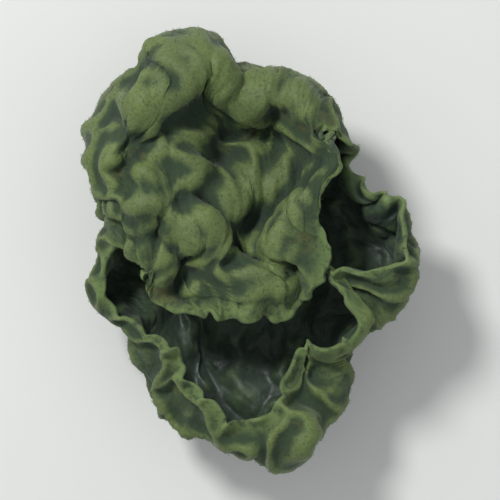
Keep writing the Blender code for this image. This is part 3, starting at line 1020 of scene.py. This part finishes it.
class EarLooks(bpy.types.PropertyGroup):
    """Colours of the ear, painted highlights and painted shade among them, and the floor."""

    felt: colour_of("Felt", "The felted outside", 50, 68, 43)
    # Painted highlight on the ridges of the felted outside.
    lit_ridge: colour_of("Ridges", "The felted outside where it stands up", 102, 119, 62)
    # Painted shade in the creases of the felted outside; also the colour of its random darker patches
    # and flecks.
    crease_shade_and_patch: colour_of("Creases", "The felted outside where it sinks in", 34, 49, 39)
    ochre: colour_of("Ochre", "Warmer patches in the hollows of the outside", 98, 94, 46)
    inside: colour_of("Inside", "The bare inside", 46, 60, 50)
    # Painted highlight on the bare inside where it stands up.
    inside_highlight: colour_of("Worn inside", "The bare inside where it stands up", 74, 94, 62)
    rim: colour_of("Rim", "The worn rim", 106, 126, 72)
    cut: colour_of("Cut", "The cut face of the stub", 128, 116, 84)
    hair: colour_of("Hairs", "The palest hairs", 92, 110, 60)
    floor: colour_of("Floor", "The floor", 226, 226, 222)
    floor_shade: colour_of("Floor shade", "The floor's faint unevenness", 220, 220, 217)


class StudioShape(bpy.types.PropertyGroup):
    """Camera and lights."""

    reach: length_of("Camera height", "Height of the camera over the ear", 0.30)
    margin: number_of("Margin", "Width of the view, in lengths of the ear", 1.16, 1.0, 4.0)
    key: number_of("Key light", "Strength of the main light in watts", 0.60, 0.0, 100.0)
    fill: number_of("Fill light", "Strength of the light opposite in watts", 0.06, 0.0, 100.0)
    sky: number_of("Sky", "Strength of the light from all round", 0.50, 0.0, 10.0)


class MakeSkin(bpy.types.Operator):
    """Make the ear's wrinkled skin"""

    bl_idname = "woodear.skin"
    bl_label = "Skin"

    def execute(self, context):
        scene = context.scene
        skin = linked("ear_skin", ear_skin(scene.ear_shape))
        skin.data.materials.append(skin_material(scene.ear_looks))
        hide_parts(NODE)
        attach(skin, "root")
        return {"FINISHED"}


class MakeFuzz(bpy.types.Operator):
    """Scatter short hairs over the felted side of the skin"""

    bl_idname = "woodear.fuzz"
    bl_label = "Fuzz"

    def execute(self, context):
        scene = context.scene
        shape = scene.fuzz_shape
        tree = fuzz_tree()
        base = linked("fuzz_base", bpy.data.objects["ear_skin"].data)
        modifier = base.modifiers.new("Fuzz", "NODES")
        modifier.node_group = tree
        values = {
            "Hairs per square metre": shape.density / MM**2,
            "Length": shape.length,
            "Radius": shape.radius,
            "Seed": shape.seed,
            "Material": hair_material(scene.ear_looks),
        }
        for item in tree.interface.items_tree:
            if item.name in values:
                modifier[item.identifier] = values[item.name]
        mesh = plain_mesh_of(base, "ear_fuzz")
        bpy.data.objects.remove(base)
        fuzz = linked("ear_fuzz", mesh)
        mesh.shade_smooth()
        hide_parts(NODE)
        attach(fuzz, "root")
        return {"FINISHED"}


def soft_light(name, power, size, place, aim):
    """A round soft light, turned to what it lights."""
    light = bpy.data.lights.new(name, "AREA")
    light.shape = "DISK"
    light.size = size
    light.energy = power
    thing = linked(name, light)
    thing.location = place
    thing.rotation_euler = (Vector(aim) - Vector(place)).to_track_quat("-Z", "Y").to_euler()


class MakeStudio(bpy.types.Operator):
    """Make the floor, the lights and the camera"""

    bl_idname = "woodear.studio"
    bl_label = "Studio"

    def execute(self, context):
        scene = context.scene
        studio, looks = scene.studio_shape, scene.ear_looks
        low, high = CAD_BOX
        middle = (low + high) / 2
        longest = max(high - low)

        half = FLOOR_REACH * longest
        corners = [(-half, -half, 0.0), (half, -half, 0.0), (half, half, 0.0), (-half, half, 0.0)]
        mesh = bpy.data.meshes.new("floor")
        mesh.from_pydata(corners, [], [(0, 1, 2, 3)])
        mesh.materials.append(floor_material(looks))
        floor = linked("floor", mesh)
        floor.location.z = -FLOOR_DROP * MM

        key_place = middle + Vector(KEY_PLACE) * longest
        fill_place = middle + Vector(FILL_PLACE) * longest
        soft_light("key_light", studio.key, KEY_SIZE * longest, key_place, middle)
        soft_light("fill_light", studio.fill, FILL_SIZE * longest, fill_place, middle)

        world = scene.world or bpy.data.worlds.new("World")
        scene.world = world
        world.use_nodes = True
        background = world.node_tree.nodes["Background"]
        background.inputs["Color"].default_value = SKY_COLOUR
        background.inputs["Strength"].default_value = studio.sky

        camera = bpy.data.cameras.new("camera")
        camera.sensor_width = SENSOR_WIDTH
        camera.lens = camera.sensor_width * (studio.reach - middle.z) / (longest * studio.margin)
        camera.clip_start = CAMERA_NEAR
        camera.clip_end = CAMERA_FAR
        eye = linked("camera", camera)
        eye.location = (middle.x, middle.y, studio.reach)
        scene.camera = eye
        scene.view_settings.view_transform = "Standard"
        return {"FINISHED"}


class WoodEarPanel(bpy.types.Panel):
    """The makers of the ear, in the 3D view's sidebar"""

    bl_idname = "VIEW3D_PT_wood_ear"
    bl_label = "Dried wood ear"
    bl_space_type = "VIEW_3D"
    bl_region_type = "UI"
    bl_category = "Wood ear"

    def draw(self, context):
        layout = self.layout
        makers = (MakeSkin, "ear_shape"), (MakeFuzz, "fuzz_shape"), (MakeStudio, "studio_shape")
        for operator, group in makers:
            box = layout.box()
            settings = getattr(context.scene, group)
            for name in settings.__annotations__:
                box.prop(settings, name)
            box.operator(operator.bl_idname)
        box = layout.box()
        for name in context.scene.ear_looks.__annotations__:
            box.prop(context.scene.ear_looks, name)


GROUPS = {
    "ear_shape": EarShape,
    "fuzz_shape": FuzzShape,
    "ear_looks": EarLooks,
    "studio_shape": StudioShape,
}
CLASSES = (*GROUPS.values(), MakeSkin, MakeFuzz, MakeStudio, WoodEarPanel)


def register():
    for kind in CLASSES:
        bpy.utils.register_class(kind)
    for name, kind in GROUPS.items():
        setattr(bpy.types.Scene, name, bpy.props.PointerProperty(type=kind))


def unregister():
    for name in GROUPS:
        delattr(bpy.types.Scene, name)
    for kind in reversed(CLASSES):
        bpy.utils.unregister_class(kind)


def main():
    register()
    bpy.ops.woodear.studio()
    bpy.ops.woodear.skin()
    bpy.ops.woodear.fuzz()


if __name__ == "__main__":
    main()
